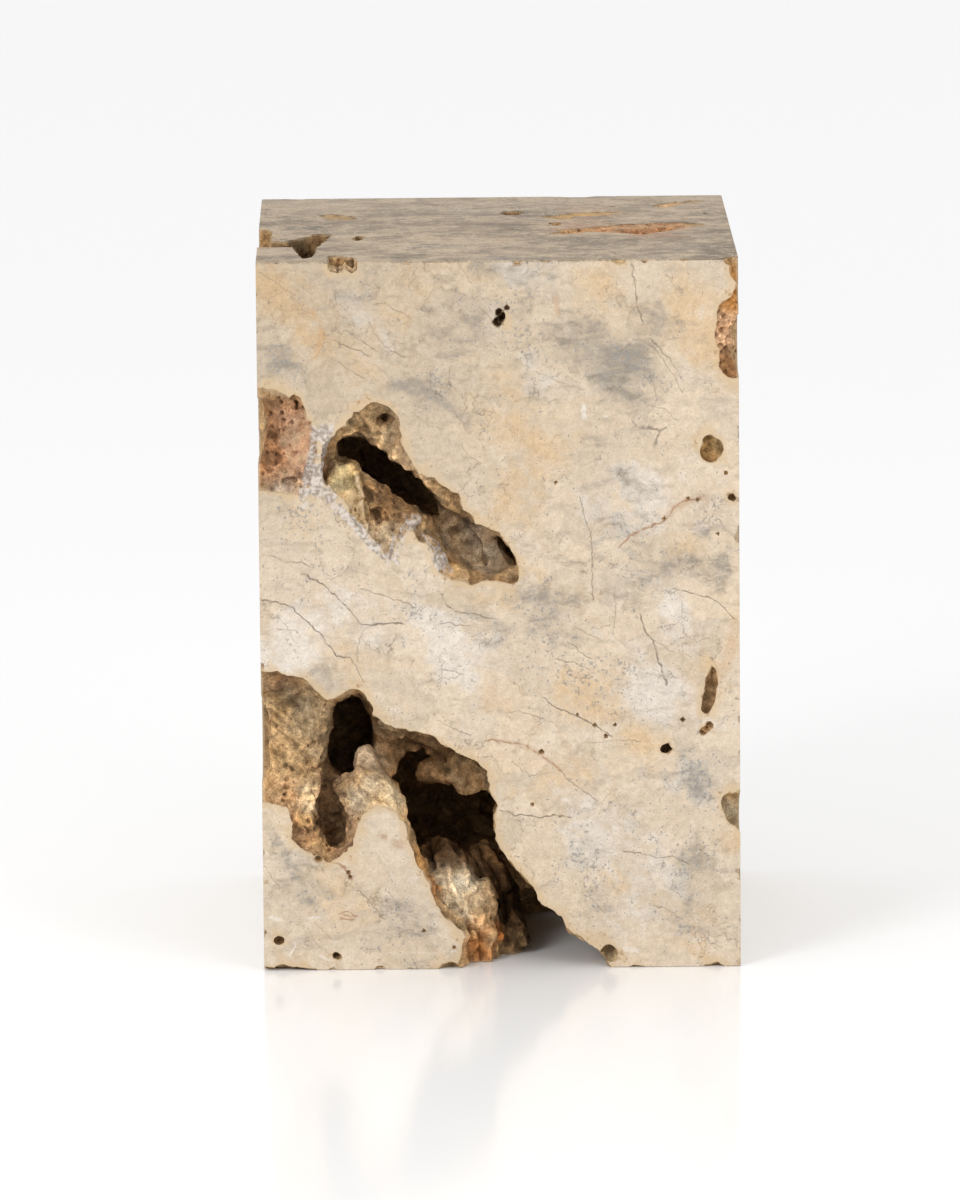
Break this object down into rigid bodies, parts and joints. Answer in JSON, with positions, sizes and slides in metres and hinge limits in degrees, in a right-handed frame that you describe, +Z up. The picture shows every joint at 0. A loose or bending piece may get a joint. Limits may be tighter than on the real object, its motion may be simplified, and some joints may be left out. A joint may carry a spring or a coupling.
{
  "type": "travertine block",
  "caption": "Square upright block of sawn, unfilled travertine that stands on its base, its faces broken by natural vugs, such as a pedestal or side table.",
  "frame": {"origin": "centre of the sawn base", "axes": "+Z up along the block's long side; the face with the two great vugs looks along -Y, and +X is to its right"},
  "size_m": [0.305, 0.305, 0.457],
  "materials": {
    "travertine": "honed on the sawn faces, raw and broken in the vugs; cream with grey clouds, tan patches, thin dark veins, and ochre to dark brown deposits in the vugs"
  },
  "bodies": {
    "root": {"travertine_chunk": "travertine"}
  },
  "joints": []
}
